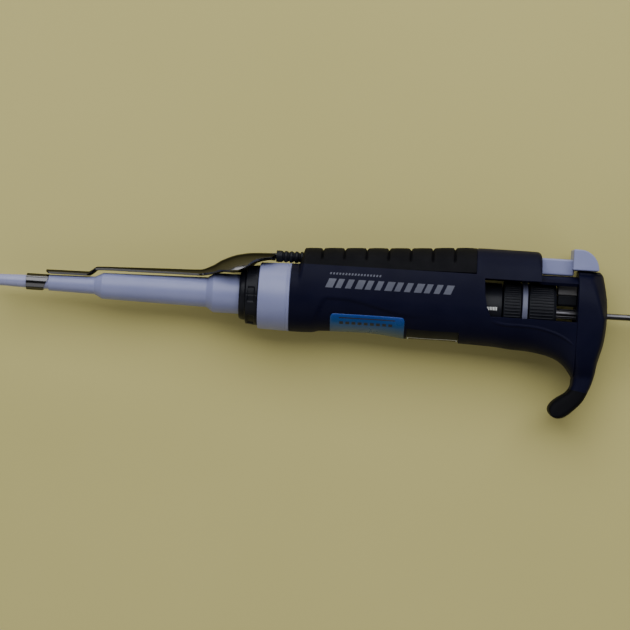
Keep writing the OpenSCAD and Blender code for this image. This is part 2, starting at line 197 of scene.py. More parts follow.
def finish(name, colour, cloud, rough, rough_spread=0.06, metal=0.0, grain=9000, grain_depth=0.02,
           stretch=(1, 1, 1), coat=0.0, cloud_size=90, specular=0.5):
    """A finish with clouds of two near colours, uneven roughness and a fine grain."""
    material, tree, shader = new_material(name)
    set_inputs(shader, Metallic=metal, Specular_IOR_Level=specular, Coat_Weight=coat, Coat_Roughness=0.08)
    coords = tree.nodes.new("ShaderNodeTexCoord")
    clouds = noise(tree, coords, cloud_size, 4, stretch)
    mix = colour_mix(tree)
    mix.inputs[6].default_value = (*colour, 1)
    mix.inputs[7].default_value = (*cloud, 1)
    wear = noise(tree, coords, cloud_size * 2.3, 5, stretch)
    sheen = ramp(tree, wear, "Fac", rough - rough_spread, rough + rough_spread)
    fine = noise(tree, coords, grain, 2, stretch)
    bump = add(tree, "ShaderNodeBump", Strength=0.35, Distance=grain_depth * MM)
    link(tree, (ramp(tree, clouds, "Fac", 0, 1), "Result", mix, 0), (mix, 2, shader, "Base Color"),
         (sheen, "Result", shader, "Roughness"), (fine, "Fac", bump, "Height"),
         (bump, "Normal", shader, "Normal"))
    return material


lavender = finish("lavender_plastic", (0.205, 0.22, 0.39), (0.23, 0.245, 0.415), 0.36, 0.05, grain=6000,
                  grain_depth=0.012, specular=0.4)
# The washer's lavender plastic, darkened: painted shade for the recessed wheel pocket it sits in.
lavender_in_painted_shade = finish("lavender_plastic_in_painted_shade", (0.075, 0.08, 0.13), (0.09, 0.095, 0.15), 0.4, 0.05)
# The guide block's grey plastic, darkened: painted shade for the dim pocket behind the wheel.
grey_in_painted_shade = finish("grey_plastic_in_painted_shade", (0.085, 0.082, 0.085), (0.11, 0.105, 0.105), 0.45, 0.05)
pale_cone = finish("pale_cone_plastic", (0.235, 0.245, 0.41), (0.27, 0.28, 0.45), 0.28, 0.05,
                   grain_depth=0.006)
night_blue = finish("night_blue_plastic", (0.0038, 0.0040, 0.0145), (0.0052, 0.0055, 0.0180), 0.44, 0.06,
                    grain=5200, grain_depth=0.02, specular=0.06)
soft_black = finish("soft_black_plastic", (0.0045, 0.0050, 0.0080), (0.0075, 0.0080, 0.0115), 0.40, 0.07,
                    grain_depth=0.02, specular=0.14)
rubber = finish("grip_rubber", (0.0028, 0.0028, 0.0042), (0.0048, 0.0047, 0.0062), 0.62, 0.08, grain=3800,
                grain_depth=0.03, specular=0.06)
# Polished steel for the arm and collar, its colour darkened far below real steel: painted dark reflections of
# the room.
steel_painted_dark = finish("polished_steel_with_painted_dark_reflection", (0.125, 0.122, 0.125), (0.095, 0.093, 0.095), 0.13, 0.05, metal=1.0,
                grain=700, grain_depth=0.004, stretch=(0.15, 1, 1))
steel = finish("ground_steel", (0.52, 0.53, 0.55), (0.62, 0.62, 0.64), 0.26, 0.06, metal=1.0, grain=5000,
               grain_depth=0.01, stretch=(1, 0.1, 0.1))
# Ground steel for the plunger rod and the spindle, darkened well below real steel: painted dark reflections.
ground_steel_painted_dark = finish("ground_steel_with_painted_dark_reflection", (0.085, 0.082, 0.090), (0.12, 0.117, 0.125), 0.32, 0.06, metal=1.0,
                    grain=5000, grain_depth=0.008, stretch=(1, 0.1, 0.1))
brass = finish("turned_brass", (0.62, 0.43, 0.16), (0.70, 0.50, 0.22), 0.28, 0.06, metal=1.0,
               stretch=(1, 0.2, 0.2))
chalk = finish("white_drum_plastic", (0.78, 0.78, 0.76), (0.84, 0.84, 0.82), 0.36, 0.05)
ink = finish("printed_ink", (0.012, 0.012, 0.015), (0.02, 0.02, 0.022), 0.45, 0.05)
# Pale finish for the thin bands that frame the counter's figures.
pale_lens_band = finish("pale_lens_band", (0.50, 0.51, 0.55), (0.60, 0.61, 0.65), 0.35, 0.05)
silver_print = finish("silver_print", (0.060, 0.064, 0.092), (0.095, 0.10, 0.135), 0.42, 0.08,
                      grain_depth=0.01, specular=0.3)
# Tinting the reflection grey darkens the polished steel at grazing angles: more painted dark reflection.
steel_painted_dark.node_tree.nodes["Principled BSDF"].inputs["Specular Tint"].default_value = (0.3, 0.3, 0.31, 1)
straw_floor = finish("straw_floor", (0.50, 0.445, 0.165), (0.53, 0.47, 0.18), 0.8, 0.03, grain=300,
                     cloud_size=6, grain_depth=0.05, specular=0.2)
floor.data.materials.append(straw_floor)
print("finishes:", len(bpy.data.materials))

# %% [markdown]
# ## Mesh helpers
# Three shapes cover nearly the whole pipette: a turned part (a profile spun about an axis), a skin (a grid
# of points on a curved surface, given a wall thickness) and a loft (rings of points joined into a closed
# body). All three are built point by point, so their edges lie exactly where the real edges are.

# %% Turned parts, skins and lofts
def new_piece(name, points, faces, material, body, replaced=(), smooth=45, closed=True):
    """A finished piece at the origin, with smooth shading up to a corner angle, riding on a body."""
    mesh = bpy.data.meshes.new(name)
    mesh.from_pydata([tuple(p) for p in to_frame(points)], [], faces)
    work = bmesh.new()
    work.from_mesh(mesh)
    bmesh.ops.remove_doubles(work, verts=work.verts, dist=1e-7)
    if closed:
        bmesh.ops.recalc_face_normals(work, faces=work.faces)
    work.to_mesh(mesh)
    work.free()
    piece = bpy.data.objects.new(name, mesh)
    bpy.context.scene.collection.objects.link(piece)
    mesh.materials.append(material)
    mesh.shade_smooth()
    mesh.set_sharp_from_angle(angle=math.radians(smooth))
    adopt(piece, body, replaced)
    return piece


def adopt(piece, body, replaced=()):
    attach(piece, body)
    if replaced:
        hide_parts(*([replaced] if isinstance(replaced, str) else replaced))


def round_angles(count):
    return np.linspace(0, 2 * math.pi, count, endpoint=False)


def hoop(s, r, angles, y=0.0, z=0.0):
    """Points at a radius round an axis along the pipette."""
    return [(s, y + r * math.cos(a), z + r * math.sin(a)) for a in angles]


def ring_faces(rows, around, closed_rows=False):
    """Quads between rows of points that each run once round."""
    faces = []
    for i in range(rows if closed_rows else rows - 1):
        j = (i + 1) % rows
        for k in range(around):
            n = (k + 1) % around
            faces.append((i * around + k, j * around + k, j * around + n, i * around + n))
    return faces


def rounded(profile, radius=0.3, steps=4, sharp=()):
    """The closed profile with each corner turned into an arc, no longer than its sides allow."""
    out = []
    count = len(profile)
    for i, corner in enumerate(profile):
        p, a, b = (np.array(profile[j % count], float) for j in (i, i - 1, i + 1))
        to_a, to_b = a - p, b - p
        la, lb = np.linalg.norm(to_a), np.linalg.norm(to_b)
        if i in sharp or p[1] < 1e-6 or la < 1e-6 or lb < 1e-6:
            out.append(tuple(p))
            continue
        to_a, to_b = to_a / la, to_b / lb
        angle = math.acos(max(-1, min(1, float(to_a @ to_b))))
        if angle > math.radians(172):
            out.append(tuple(p))
            continue
        cut = min(radius / math.tan(angle / 2), 0.45 * la, 0.45 * lb)
        for k in range(steps + 1):
            t = k / steps
            out.append(tuple(p + (1 - t) ** 2 * cut * to_a + t ** 2 * cut * to_b))
    return out


def turned(name, profile, material, body, replaced=None, radius=0.3, around=96, y=0.0, z=0.0,
           sharp=(), smooth=40):
    """Spin a closed profile of (station, radius) corners about an axis along the pipette."""
    outline = rounded(profile, radius, sharp=sharp)
    angles = round_angles(around)
    points = [p for s, r in outline for p in hoop(s, r, angles, y, z)]
    return new_piece(name, points, ring_faces(len(outline), around, True), material, body,
                     name if replaced is None else replaced, smooth)


def face_out(piece):
    """Turn a skin's faces away from the pipette's axis."""
    mesh = piece.data
    centre = Vector(START)
    if sum((p.center - centre).dot(p.normal) * p.area for p in mesh.polygons) < 0:
        mesh.flip_normals()
    return piece


def skin(name, points, rows, columns, material, replaced=(), body="handle"):
    """An open grid of points on a curved surface."""
    faces = [(i * columns + k, (i + 1) * columns + k, (i + 1) * columns + k + 1, i * columns + k + 1)
             for i in range(rows - 1) for k in range(columns - 1)]
    return face_out(new_piece(name, points, faces, material, body, replaced, 60, closed=False))


def join(pieces, name):
    """One piece out of several meshes with no live modifiers."""
    whole = bmesh.new()
    for piece in pieces:
        whole.from_mesh(piece.data)
    whole.to_mesh(pieces[0].data)
    whole.free()
    for piece in pieces[1:]:
        bpy.data.objects.remove(piece)
    pieces[0].name = name
    return pieces[0]


def thicken(piece, wall, edge=0.25, segments=3, corner=38):
    """Give a skin its wall, inwards, and break its edges."""
    solid = piece.modifiers.new("wall", "SOLIDIFY")
    solid.thickness = wall * MM
    solid.offset = -1
    if edge:
        soften(piece, edge, segments, corner)
    return piece


def soften(piece, edge, segments=3, corner=38):
    bevel = piece.modifiers.new("edges", "BEVEL")
    bevel.width = edge * MM
    bevel.segments = segments
    bevel.limit_method = "ANGLE"
    bevel.angle_limit = math.radians(corner)
    bevel.harden_normals = True
    return piece


def loft(name, rings, material, body, replaced=None, smooth=40):
    """Join rings of points into a body, closed at both ends by a face."""
    rings = np.asarray(rings, float)
    rows, around = rings.shape[:2]
    faces = ring_faces(rows, around)
    faces.append(tuple(range(around)))
    faces.append(tuple((rows - 1) * around + k for k in range(around)))
    return new_piece(name, rings.reshape(-1, 3), faces, material, body, name if replaced is None
                     else replaced, smooth)


def slab(name, outline, z_lo, z_hi, material, body, replaced=None, edge=0.4):
    """An outline of (station, y) corners, given a depth along z, with broken edges."""
    points = [(s, y, z_lo) for s, y in outline] + [(s, y, z_hi) for s, y in outline]
    n = len(outline)
    faces = [tuple(range(n)), tuple(range(n, 2 * n))]
    faces += [(k, (k + 1) % n, n + (k + 1) % n, n + k) for k in range(n)]
    piece = new_piece(name, points, faces, material, body, name if replaced is None else replaced, 30)
    return soften(piece, edge, 3, 28)


def blend_in(x, a, b):
    """0 before a, 1 after b, smooth between."""
    t = np.clip((np.asarray(x, float) - a) / (b - a), 0, 1)
    return t * t * (3 - 2 * t)


print("helpers ready")

# %% [markdown]
# ## The lower end
# The nozzle is a plain turned cone with a short cylindrical land that the disposable tip seals on. The
# shaft above it is moulded in a pale lavender plastic: a thin neck, a shoulder, a long slightly tapered
# barrel and a wide head that the nut grips.

# %% Tip cone and shaft
turned("tip_cone", [(0, 0.6), (0, 1.7), (0.8, 2.0), (5, 2.0), (13.3, 2.25), (25.9, 2.25), (25.9, 0.6)],
       pale_cone, "handle", radius=0.35)
turned("shaft", [(21.0, 2.25), (21.0, 2.75), (37.0, 3.05), (39.8, 4.5), (76.0, 5.15), (78.4, 6.8),
                 (91.0, 6.8), (91.0, 7.55), (94.0, 7.55), (94.0, 5.6), (79.0, 5.6), (77.0, 3.6),
                 (50.0, 3.6), (50.0, 2.25)],
       lavender, "handle", radius=0.7, around=128)
print("cone and shaft turned")

# %% [markdown]
# The black nut holds the shaft to the handle. It is a turned blank with a stepped nose; shallow pockets for
# the fingers and a mould seam are pressed into its rim by moving the points of a fine grid inwards.

# %% Connecting nut
def nut_surface():
    stations = np.concatenate([np.linspace(87.5, 89.4, 8), np.linspace(89.5, 89.95, 4),
                               np.linspace(90.1, 93.7, 24), [93.85, 93.95, 94.0]])
    angles = round_angles(240)
    rows = [hoop(87.6, 6.95, angles)]
    for s in stations:
        if s <= 89.4:
            r = 8.0 + 0.75 * math.sqrt(max(0, 1 - ((89.4 - s) / 2.0) ** 2))
        else:
            r = 8.75 + 1.25 * float(blend_in(s, 89.4, 89.95)) + 0.1 * (s - 90)
        if s > 93.7:
            r -= 0.3 * (1 - math.sqrt(max(0, 1 - ((s - 93.7) / 0.3) ** 2)))
        row = []
        for a in angles:
            turn_deg = math.degrees(a) % 60
            across = blend_in(turn_deg, 14, 16.5) * (1 - blend_in(turn_deg, 42.5, 45))
            along = blend_in(s, 90.5, 90.8) * (1 - blend_in(s, 92.7, 93.0))
            seam = math.exp(-((math.degrees(a) % 90 - 90 * (math.degrees(a) % 90 > 45)) / 0.9) ** 2)
            rr = r - 0.45 * float(across * along) - 0.12 * seam * float(blend_in(s, 89.9, 90.2))
            row.append((s, rr * math.cos(a), rr * math.sin(a)))
        rows.append(row)
    return rows + [hoop(s, r, angles) for s, r in ((94.0, 7.7), (91.0, 7.7), (91.0, 6.95))]


nut_rows = nut_surface()
new_piece("connecting_nut", [p for row in nut_rows for p in row], ring_faces(len(nut_rows), 240, True),
          soft_black, "handle", "connecting_nut", smooth=35)
print("nut rows:", len(nut_rows))

# %% [markdown]
# The light ring above the nut closes the bottom of the handle. It widens a little upwards and has a fine
# groove near its upper edge.

# %% Handle ring
turned("handle_ring", [(94.1, 6.0), (94.1, 11.4), (103.6, 11.68), (103.75, 11.55), (104.0, 11.55),
                       (104.15, 11.72), (104.95, 11.75), (104.95, 9.5), (109.0, 9.5), (109.0, 8.4),
                       (96.0, 8.4), (96.0, 6.0)],
       lavender, "handle", radius=0.45, around=160)
print("ring turned")

# %% [markdown]
# ## The handle
# The handle's section is an egg: round and wide at the front, where the fingers go, fuller and flatter at
# the back, which hides the ejector rod. One function gives a point of that egg from the station and the
# turn angle (0 at the front, 180 degrees at the back). The outline's reach to the front and the back
# changes along the handle, and a shallow finger hollow is pressed into the front.

# %% The egg-shaped section
HALF = 12.0           # half depth of the handle
WAIST_Y = 1.5         # where the section is widest
BACK_POWER = 0.80     # below 1 the back is flatter than an ellipse
NOTCH = 190.4         # station of the shoulder where the ejector's stem comes out
FRONT = np.array([(104, 11.75), (109, 11.75), (119, 11.35), (134, 11.25), (145, 12.2), (164, 12.4),
                  (180, 13.3), (190, 14.05), (194.5, 15.0), (198.4, 16.7), (200.8, 18.8), (202.3, 20.7),
                  (203.2, 22.2)])
BACK = np.array([(109, 17.35), (122, 18.1), (134, 18.75), (150, 19.7), (166, 20.75), (178, 20.8),
                 (191, 20.7)])


def hermite(table, slope, s):
    """The smooth curve through a table of (station, value) rows whose slopes are given, read at a station."""
    x, v = table[:, 0], table[:, 1]
    i = int(np.clip(np.searchsorted(x, s) - 1, 0, len(x) - 2))
    h = x[i + 1] - x[i]
    t = float(np.clip((s - x[i]) / h, 0, 1))
    return ((2 * t**3 - 3 * t**2 + 1) * v[i] + (t**3 - 2 * t**2 + t) * h * slope[i]
            + (3 * t**2 - 2 * t**3) * v[i + 1] + (t**3 - t**2) * h * slope[i + 1])


def along(table, s):
    """A flowing reading of a table."""
    return hermite(table, np.gradient(table[:, 1], table[:, 0]), s)


def steady(table, s):
    """A reading of a table that never overshoots between its rows."""
    rise = np.diff(table[:, 1]) / np.diff(table[:, 0])
    both = rise[:-1] * rise[1:]
    inner = np.where(both > 0, 2 * both / np.where(both > 0, rise[:-1] + rise[1:], 1), 0)
    return hermite(table, np.concatenate([[rise[0]], inner, [rise[-1]]]), s)


def back_reach(s):
    if s < 109.4:
        return 11.75 + (along(BACK, 109.4) - 11.75) * float(blend_in(s, 107.3, 109.4))
    reach = along(BACK, s)
    if s > 188.6:
        drop = min(1.0, (s - 188.6) / 1.8)
        reach -= 1.8 * (1 - math.sqrt(1 - drop * drop))
    return reach if s <= NOTCH else 12.9


def front_power(s):
    """The front of the section is a plain ellipse that grows boxier where the handle flares into the hook."""
    return 1.0 - 0.45 * float(blend_in(s, 186, 203))


def egg(s, t, back=None, inset=0.0):
    """Point (y, z) of the section at a station; t runs from 0 at the front to pi at the back."""
    front = along(FRONT, s)
    back = back_reach(s) if back is None else back
    c, n = math.cos(t), abs(math.sin(t))
    sign = 1 if math.sin(t) >= 0 else -1
    if c >= 0:
        y, z = WAIST_Y - (front + WAIST_Y - inset) * c, (HALF - inset) * n ** front_power(s)
    else:
        y, z = WAIST_Y + (back - WAIST_Y - inset) * (-c) ** BACK_POWER, (HALF - inset) * n ** BACK_POWER
    return y, sign * z


def turn_at_y(s, y, back=None):
    """The turn angle at which the section reaches the height y."""
    if y <= WAIST_Y:
        return math.acos(min(1, (WAIST_Y - y) / (along(FRONT, s) + WAIST_Y)))
    back = back_reach(s) if back is None else back
    return math.pi - math.acos(min(1, ((y - WAIST_Y) / (back - WAIST_Y)) ** (1 / BACK_POWER)))


def turn_at_z(z, power=1.0):
    """The turn angle at which the section reaches the depth z."""
    return math.asin((z / HALF) ** (1 / power))


def hollow(s, y):
    """Depth of the finger hollow: its upper edge rises quickly at the lower end and fades out upwards."""
    edge = (0.9 - 8.5 * float(1 - blend_in(s, 112.6, 117.6)) - 4.6 * float(blend_in(s, 122, 148)))
    depth = 0.55 * float(blend_in(s, 112.8, 115.5)) * float(1 - blend_in(s, 136, 156))
    return depth * float(1 - blend_in(y, edge - 1.3, edge))


def pressed(s, y, z):
    """A point of the section after the finger hollow is pressed in."""
    dent = hollow(s, y)
    length = math.hypot(y - WAIST_Y, z)
    return y - dent * (y - WAIST_Y) / length, z - dent * z / length


print("waist of the section at y =", WAIST_Y, "half depth", HALF)

# %% [markdown]
# The handle itself is a skin: a grid of stations by turn angles with the open places left out, then given a
# wall. The grid lines are laid so that they run exactly along the edges of the wheel window, the counter
# window and the slot for the ejector button, which keeps those edges clean enough to be rounded.

# %% Handle shell
WINDOW = (171.0, 203.0)
WINDOW_Y = (-2.75, 10.4)
COUNTER = (145.4, 163.4)
COUNTER_Z = 8.2
SLOT_Z = 3.75
PAD = (109.0, 168.0)
PAD_EDGE_Y = 11.7
PAD_WALL = 1.6


def spread(*stops):
    """Values from stop to stop: (first, (last, count), (last, count)...)."""
    values = [stops[0]]
    for last, count in stops[1:]:
        values += list(np.linspace(values[-1], last, count + 1)[1:])
    return values


stations = spread(105.0, (105.3, 2), (109.5, 10), (123, 20), (145.4, 24), (163.4, 24), (167.9, 6), (168.1, 2),
                  (171.0, 4), (172.0, 2), (188.4, 18), (NOTCH - 0.1, 10), (NOTCH + 0.02, 1), (191.5, 3),
                  (202.6, 16), (203.0, 2))


def turns_at(s):
    """Half of the section's turn angles at a station, with lines along the edges of the openings."""
    t_top = turn_at_y(s, WINDOW_Y[1])
    t_pad = max(turn_at_y(s, min(PAD_EDGE_Y, back_reach(s) - 0.3)), t_top + 0.02)
    t_slot = max(math.pi - turn_at_z(SLOT_Z, BACK_POWER), t_pad + 0.02)
    return spread(0.0, (turn_at_z(COUNTER_Z), 16), (turn_at_y(s, WINDOW_Y[0]), 12), (t_top, 24), (t_pad, 3),
                  (t_slot, 14), (math.pi, 8))


HALF_TURNS = 16 + 12 + 24 + 3 + 14 + 8
TURN_OF = {"counter": 16, "front": 28, "back": 52, "pad": 55, "slot": 69}


def window_shift(s, y):
    """The window's lower edge leans: stations near it move with the height."""
    reach = float(blend_in(s, 164.5, 171.0) * (1 - blend_in(s, 172.0, 182.0)))
    lean_by = np.interp(y, [-6.0, WINDOW_Y[0], 0.4, 5.0, 10.4, 12.0], [2.9, 2.7, 1.3, 0.35, 0.0, 0.0])
    return reach * float(lean_by)


def handle_point(s, t, k):
    """A point of the handle's outer skin; k counts the grid line from the front."""
    under_pad = 0.0
    if k > TURN_OF["pad"] and s <= NOTCH:
        under_pad = (PAD_WALL + 0.12) * float(blend_in(s, 107.2, PAD[0]) * (1 - blend_in(s, 167.95, 168.15)))
    y, z = pressed(s, *egg(s, t, inset=under_pad))
    return s + window_shift(s, y), y, z


def handle_row(s):
    """A closed row of points: the near half from front to back, then its mirror image."""
    row = [handle_point(s, t, k) for k, t in enumerate(turns_at(s))]
    return row + [(a, b, -c) for a, b, c in reversed(row[1:-1])]


def row_of(value):
    """The grid row nearest to a station."""
    return int(np.argmin([abs(s - value) for s in stations]))


def in_opening(i, k):
    """True for a face of the handle's grid that lies in an opening."""
    line = k if k < HALF_TURNS else 2 * HALF_TURNS - 1 - k
    if row_of(COUNTER[0]) <= i < row_of(COUNTER[1]) and line < TURN_OF["counter"]:
        return True
    if i >= row_of(WINDOW[0]) and TURN_OF["front"] <= line < TURN_OF["back"]:
        return True
    return i == row_of(NOTCH - 0.1) and line >= TURN_OF["slot"]


around = 2 * HALF_TURNS
handle_points = [p for s in stations for p in handle_row(s)]
handle_faces = [f for n, f in enumerate(ring_faces(len(stations), around))
                if not in_opening(n // around, n % around)]
handle = new_piece("handle_shell", handle_points, handle_faces, night_blue, "handle", "handle_shell",
                   50, closed=False)
print("handle faces:", len(handle_faces))

# %% [markdown]
# Moulded walls are about a millimetre thick and have no sharp edges, so the skin gets its wall inwards and
# then a small rounding on every rim. A bulkhead behind the counter closes the window's pocket off from the
# mechanism.

# %% Handle wall and bulkhead
WALL = 1.2
thicken(handle, WALL, 0.32, 3, 42)


def inner_slice(s, gap, count=72):
    """The handle's section, drawn in by a gap."""
    return [(s, *egg(s, t, inset=gap)) for t in round_angles(count)]


loft("window_bulkhead", [inner_slice(s, WALL + 0.05) for s in (168.6, 170.4)], soft_black, "handle", ())
print("handle wall in mm:", WALL)

# %% [markdown]
# The grip is a rubber saddle on the handle's back. It is the same egg, one grid of its own, with seven
# cross grooves and slightly pillowed blocks between them, which is what gives the back its gentle scalloped
# outline.

# %% Grip pad
GROOVE_FIRST, GROOVE_PITCH, GROOVE_COUNT = 115.3, 7.55, 7
groove_stations = [GROOVE_FIRST + GROOVE_PITCH * i for i in range(GROOVE_COUNT)]


def pad_relief(s, rise):
    """How far the pad's skin lies below or above the egg; rise is 0 at its lower edge and 1 on the ridge."""
    depth = sum(math.exp(-((s - g) / 0.34) ** 2) for g in groove_stations)
    block = math.sin(math.pi * ((s - GROOVE_FIRST) / GROOVE_PITCH % 1.0)) if s > GROOVE_FIRST - 5 else 0.5
    reach = float(blend_in(rise, 0.16, 0.34))
    return (0.14 * block - 0.75 * depth) * reach - 0.12


PAD_LINES = 97          # points across the pad, from edge to edge


def pad_row(s):
    edge_y = 11.25 + 0.9 * (s - 109) / 59 if s > 109.4 else min(11.25, back_reach(s) - 0.6)
    t_edge = turn_at_y(s, edge_y)
    row = []
    for k in range(PAD_LINES):
        t = t_edge + (2 * math.pi - 2 * t_edge) * k / (PAD_LINES - 1)
        row.append((s, *egg(s, t, inset=-pad_relief(s, 1 - abs(k - 48) / 48))))
    return row


pad_stations = spread(107.25, (109.6, 14), (PAD[1], 290))
pad = skin("grip_pad", [p for s in pad_stations for p in pad_row(s)], len(pad_stations), PAD_LINES, rubber,
           "grip_pad")
thicken(pad, PAD_WALL - 0.35, 0.28, 3, 55)
print("grip pad grooves:", GROOVE_COUNT)

# %% [markdown]
# A sticker follows the surface it sits on. A patch takes the handle's own surface, lifted by a hair,
# between two stations and two turn angles, and its corners are rounded by narrowing the ends.

# %% A patch that lies on the handle
def patch(name, s_range, y_range, lift, material, slant=0.0, corner=0.0, rows=24, columns=16, side=1,
          wrap=False, replaced=()):
    """A thin skin on the flank between two heights, or right round the front if wrap is set."""
    s0, s1 = s_range
    points = []
    for i in range(rows):
        s = s0 + (s1 - s0) * i / (rows - 1)
        from_end = min(s - s0, s1 - s)
        cut = corner - math.sqrt(max(0, corner ** 2 - (corner - min(from_end, corner)) ** 2)) if corner else 0
        for k in range(columns):
            f = k / (columns - 1)
            if wrap:
                t_edge = turn_at_y(s, y_range[1] - cut)
                t, y_at = -t_edge + 2 * t_edge * f, 0
            else:
                y_at = y_range[0] + cut + (y_range[1] - y_range[0] - 2 * cut) * f
                t = side * turn_at_y(s, y_at)
            shift = slant * (f - 0.5)
            points.append((s + shift, *pressed(s, *egg(s + shift, t, inset=-lift))))
    return skin(name, points, rows, columns, material, replaced)


face_out(handle)
print("patch helper ready")

# %% [markdown]
# The sticker is a glossy printed film, blue at one end and greyer towards the handle's front, with two dark
# rules and a row of small marks for decoration. The gradient is a ramp on the object's own height across
# the handle.

# %% Label
def printed_film():
    material = finish("label_film", (0.02, 0.12, 0.33), (0.03, 0.16, 0.38), 0.30, 0.05, coat=0.15,
                      grain_depth=0.006, specular=0.3)
    tree = material.node_tree
    coords = next(n for n in tree.nodes if n.type == "TEX_COORD")
    clouds = next(n for n in tree.nodes if n.type == "TEX_NOISE")
    split = tree.nodes.new("ShaderNodeSeparateXYZ")
    height = add(tree, "ShaderNodeMapRange", From_Min=START[1] - 12 * MM, From_Max=START[1] - 4.5 * MM)
    colours = tree.nodes.new("ShaderNodeValToRGB")
    stops = colours.color_ramp.elements
    stops[0].color = (0.040, 0.085, 0.130, 1)
    stops[1].color = (0.006, 0.052, 0.300, 1)
    stops.new(0.55).color = (0.014, 0.085, 0.240, 1)
    tint = colour_mix(tree, blend_type="MULTIPLY")
    tint.inputs[0].default_value = 0.35
    link(tree, (coords, "Object", split, "Vector"), (split, "Y", height, "Value"),
         (height, "Result", colours, "Fac"), (colours, "Color", tint, 6), (clouds, "Color", tint, 7),
         (tint, 2, tree.nodes["Principled BSDF"], "Base Color"))
    return material


film = printed_film()
label = patch("label", (119.2, 144.6), (-12.5, -4.9), 0.10, film, corner=1.2, rows=64, columns=48, wrap=True,
              replaced="label")
thicken(label, 0.16, 0)
print("label laid")

# %% [markdown]
# The flank carries a light printed ornament: a row of slanted bars over a fine row of dashes. It stands
# where such handles are usually printed and says nothing. Each bar is a patch of the surface, and a loop
# sets them out.

# %% Printed ornament on the flank
bars = []
for side_of in (1, -1):
    for i in range(13):
        s = 117.6 + 3.35 * i
        wide = 2.0 if i % 3 else 2.5
        bars.append(patch("bar", (s, s + wide), (4.1, 7.2), 0.035, silver_print, slant=1.3, rows=5, columns=8,
                          side=side_of))
    for i in range(17):
        s = 118.4 + 1.05 * i
        bars.append(patch("bar", (s, s + 0.55), (8.6, 9.3), 0.035, silver_print, slant=0.2, rows=3, columns=3,
                          side=side_of))
ornament = join(bars, "flank_ornament")
INK_LIFT = 0.135
marks = [patch("mark", (122.2, 141.4), (-6.35, -6.0), INK_LIFT, ink, rows=20, columns=3, side=d)
         for d in (1, -1)]
marks += [patch("mark", (122.4 + 2.1 * i, 123.7 + 2.1 * i), (-8.4, -7.5), INK_LIFT, ink, rows=4, columns=4,
                side=d)
          for d in (1, -1) for i in range(9)]
join(marks, "label_print")
print("printed marks:", len(ornament.data.polygons))

# %% [markdown]
# ## The volume counter
# Three white drums carry the figures 0 to 9. A figure is made once as a flat shape and then wrapped round
# its drum: its width runs along the pipette and its height round the drum. At rest the drums read 100. The
# units drum turns with the thumbwheel and the other two are geared down, so each drum's figures ride on
# their own body.

# %% Figures on the drums
DRUM_R = 8.6
DRUM_STEP = math.radians(36)


def flat_figure(text, height):
    """Triangles of one figure, centred, as (points, faces)."""
    curve = bpy.data.curves.new("figure", "FONT")
    curve.body = text
    curve.size = height / 0.72
    curve.align_x = "CENTER"
    curve.offset = 0.02
    curve.resolution_u = 4
    holder = bpy.data.objects.new("figure", curve)
    bpy.context.scene.collection.objects.link(holder)
    mesh = bpy.data.meshes.new_from_object(holder.evaluated_get(bpy.context.evaluated_depsgraph_get()))
    work = bmesh.new()
    work.from_mesh(mesh)
    bmesh.ops.triangulate(work, faces=work.faces)
    bmesh.ops.subdivide_edges(work, edges=[e for e in work.edges if e.calc_length() > 0.5], cuts=2)
    bmesh.ops.triangulate(work, faces=work.faces)
    points = np.array([v.co[:] for v in work.verts])
    faces = [[v.index for v in f.verts] for f in work.faces]
    work.free()
    bpy.data.objects.remove(holder)
    points[:, 1] -= (points[:, 1].min() + points[:, 1].max()) / 2
    points[:, 0] -= (points[:, 0].min() + points[:, 0].max()) / 2
    return points, faces


figure_shapes = [flat_figure(str(d), 3.5) for d in range(10)]


def figures_on(node, shown, body, lift=0.03):
    """All ten figures of a drum in one mesh; the shown one faces the front."""
    lo, hi = span(node)
    middle = lo + (hi - lo - 1) / 2
    points, faces = [], []
    for d in range(10):
        shape, triangles = figure_shapes[d]
        first = len(points)
        for x, h, _ in shape:
            angle = h / DRUM_R + DRUM_STEP * (d - shown)
            r = DRUM_R + lift
            points.append((middle + x, -r * math.cos(angle), r * math.sin(angle)))
        faces += [[first + i for i in f] for f in triangles]
    return face_out(new_piece(node + "_figures", points, faces, ink, body, (), closed=False))


for node, shown, body in (("hundreds_drum", 1, "hundreds_drum"), ("tens_drum", 0, "tens_drum"),
                          ("units_drum", 0, "volume_drive")):
    print("figures on", node, len(figures_on(node, shown, body).data.polygons))

# %% [markdown]
# The counter's lens is a smoked clear shell that follows the front of the egg, sunk a little below it, with
# a fine pale frame of thin bands round the three figures and a black border beside them.

# %% Counter lens
smoked, lens_tree, lens_shader = new_material("smoked_lens")
set_inputs(lens_shader, Base_Color=(0.015, 0.016, 0.022, 1), Alpha=0.3, IOR=1.25, Specular_IOR_Level=0.2)
lens_noise = noise(lens_tree, lens_tree.nodes.new("ShaderNodeTexCoord"), 260, 4)
link(lens_tree, (ramp(lens_tree, lens_noise, "Fac", 0.12, 0.22), "Result", lens_shader, "Roughness"))

LENS_SINK = 0.45


def lens_points(z_range, s_range, sink, columns, rows=24):
    """A grid on the front of the egg between two depths and two stations."""
    points = []
    for s in np.linspace(*s_range, rows):
        t0, t1 = (math.copysign(turn_at_z(abs(z)), z) for z in z_range)
        points += [(s, *egg(s, t0 + (t1 - t0) * k / (columns - 1), inset=sink)) for k in range(columns)]
    return points


LENS_S = (145.45, 163.35)
lens = skin("counter_window", lens_points((-8.15, 8.15), LENS_S, LENS_SINK, 40), 24, 40, smoked,
            "counter_window")
thicken(lens, 1.25, 0.2, 2, 50)


def lens_print(name, material, bands):
    """Thin bands on the lens, each with its depths, stations, columns and rows."""
    return join([skin("line", lens_points(z, s, LENS_SINK - 0.03, columns, rows), rows, columns, material)
                 for z, s, columns, rows in bands], name)


